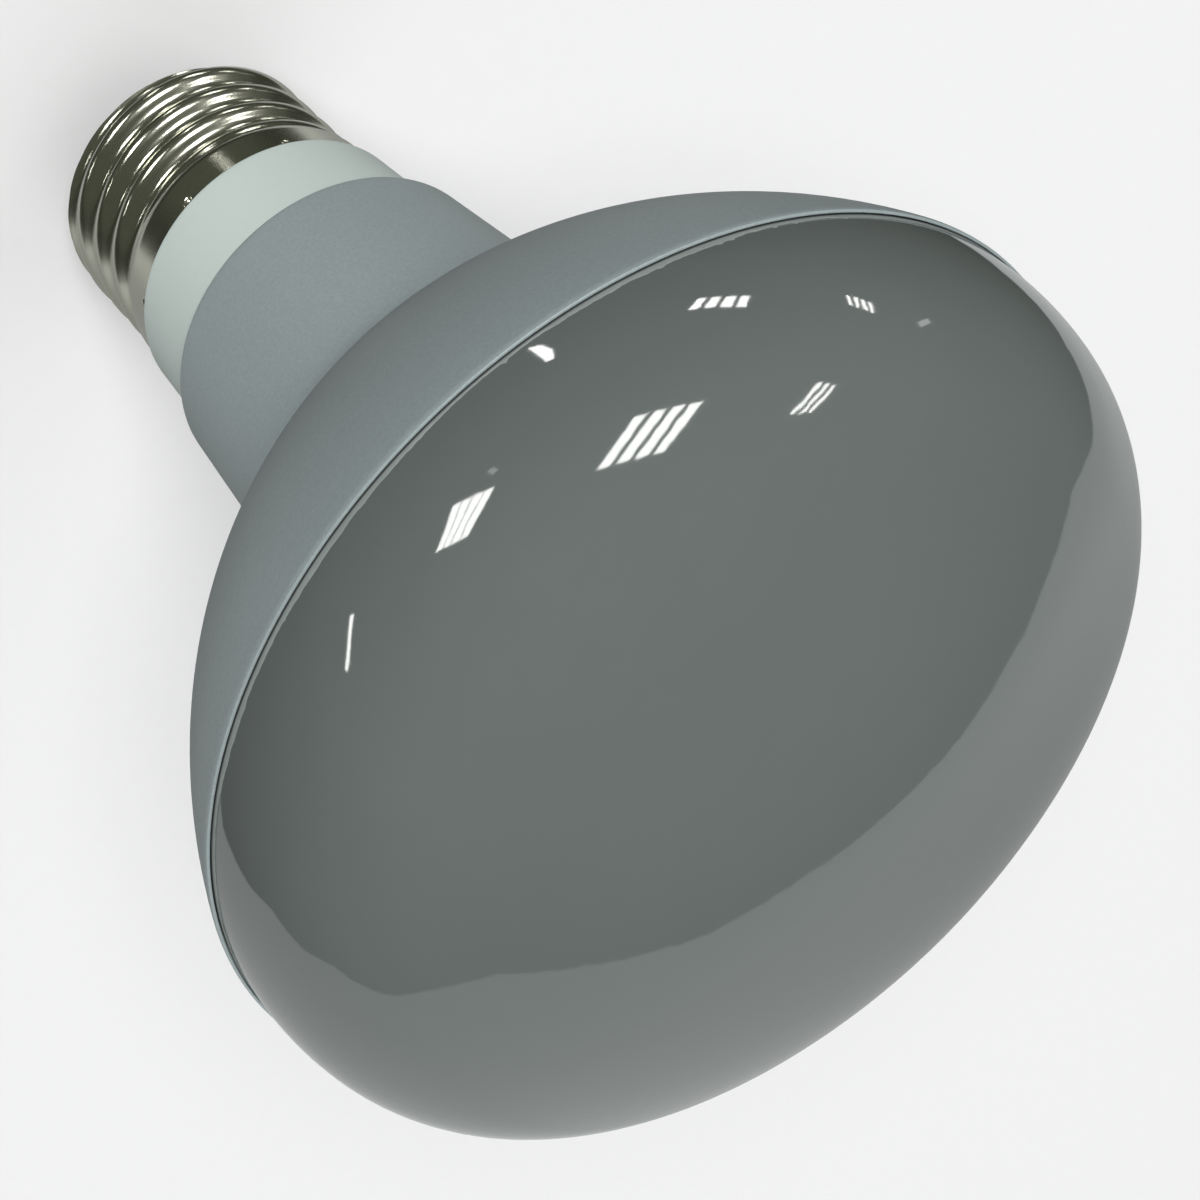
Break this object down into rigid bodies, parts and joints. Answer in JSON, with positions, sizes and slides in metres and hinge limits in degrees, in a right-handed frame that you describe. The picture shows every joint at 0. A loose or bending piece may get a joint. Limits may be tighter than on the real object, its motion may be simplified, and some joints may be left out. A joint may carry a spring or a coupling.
{
  "type": "reflector bulb",
  "caption": "Reflector lamp with a rolled screw cap, a tapered collar, a painted bowl-shaped housing and a glossy opal front dome, for lighting downwards or forwards.",
  "frame": {"origin": "tip of the centre contact, on the lamp's axis", "axes": "+Z along the lamp's axis from the contact to the dome; -Y through one of the cap's punch marks"},
  "size_m": [0.08, 0.08, 0.1095],
  "materials": {
    "contact_solder": "tinned disc with a dull solder bead",
    "insulator_glass": "glossy black moulded glass",
    "cap_nickel": "polished nickel plate",
    "collar_plastic": "fine matt off-white",
    "housing_paint": "matt silver-grey paint with a fine grain",
    "seal_adhesive": "cured adhesive, slightly ragged",
    "dome_opal": "smooth glossy opal"
  },
  "bodies": {
    "root": {"centre_contact": "contact_solder", "cap_insulator": "insulator_glass", "cap_shell": "cap_nickel", "collar": "collar_plastic", "reflector_housing": "housing_paint", "dome_seal": "seal_adhesive", "front_dome": "dome_opal"}
  },
  "joints": []
}
